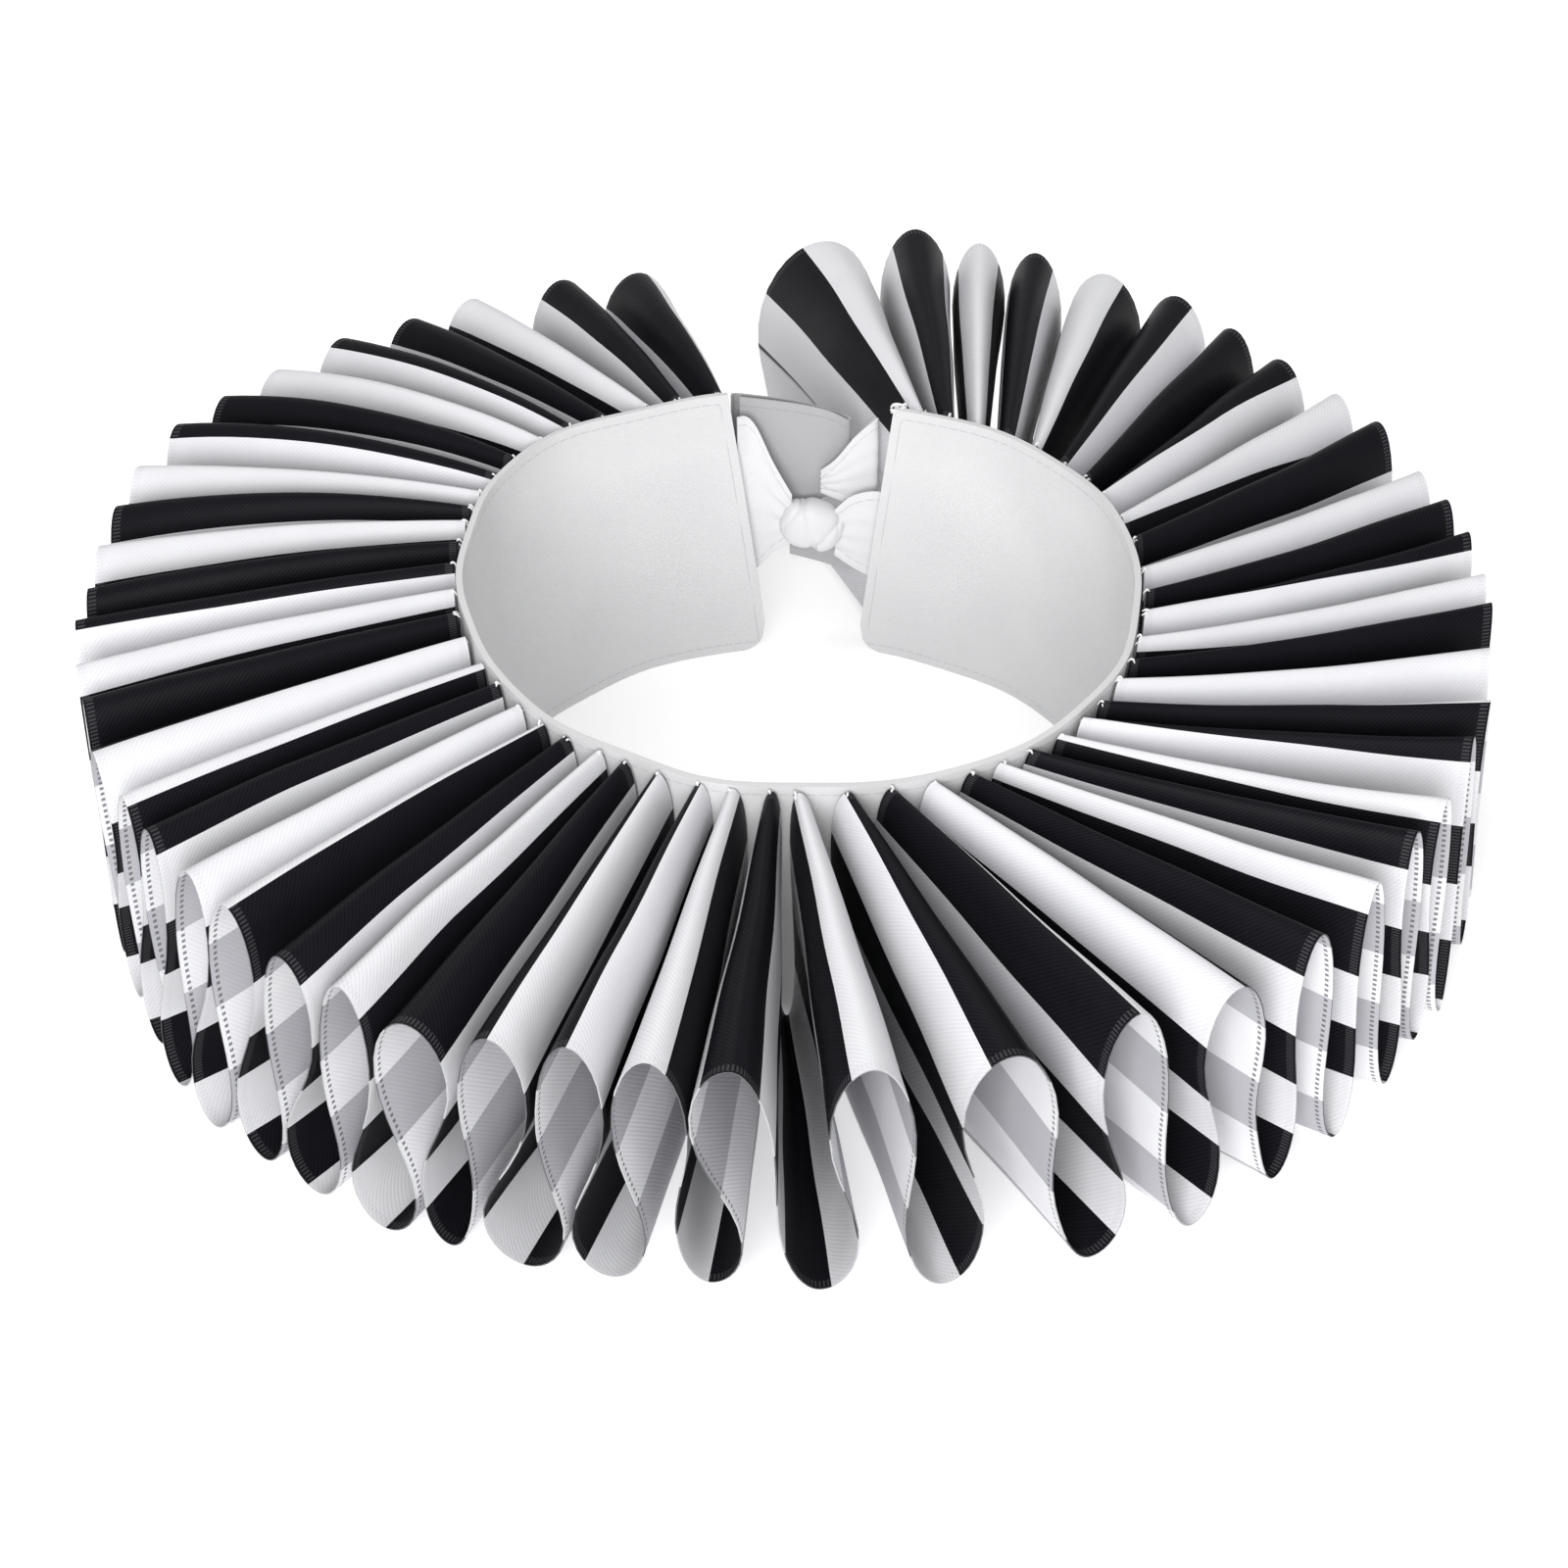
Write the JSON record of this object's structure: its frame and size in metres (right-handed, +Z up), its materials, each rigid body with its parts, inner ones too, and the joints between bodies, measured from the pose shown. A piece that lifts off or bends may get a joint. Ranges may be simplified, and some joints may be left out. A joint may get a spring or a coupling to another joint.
{
  "type": "clown collar",
  "caption": "Clown collar: a black and white striped satin ruff folded on edge round a white cotton neckband, open at the back and closed by a tied satin bow.",
  "frame": {"origin": "under the middle of the collar's bounding box, on the surface that the collar stands on", "axes": "+Z up along the neck, +Y towards the open back with the bow, -Y towards the front, +X to the right in the picture"},
  "size_m": [0.2574, 0.2604, 0.056],
  "materials": {
    "band_cotton": "matt white woven cotton with narrow hems",
    "striped_satin": "soft satin ribbon with even black and white stripes across it",
    "tie_satin": "soft white satin"
  },
  "bodies": {
    "root": {"neckband": "band_cotton", "ruffle_ribbon": "striped_satin", "bow_knot": "tie_satin", "tie_strap_left": "tie_satin", "tie_strap_right": "tie_satin", "bow_loop_left": "tie_satin", "bow_loop_right": "tie_satin", "bow_tail": "tie_satin"}
  },
  "joints": []
}
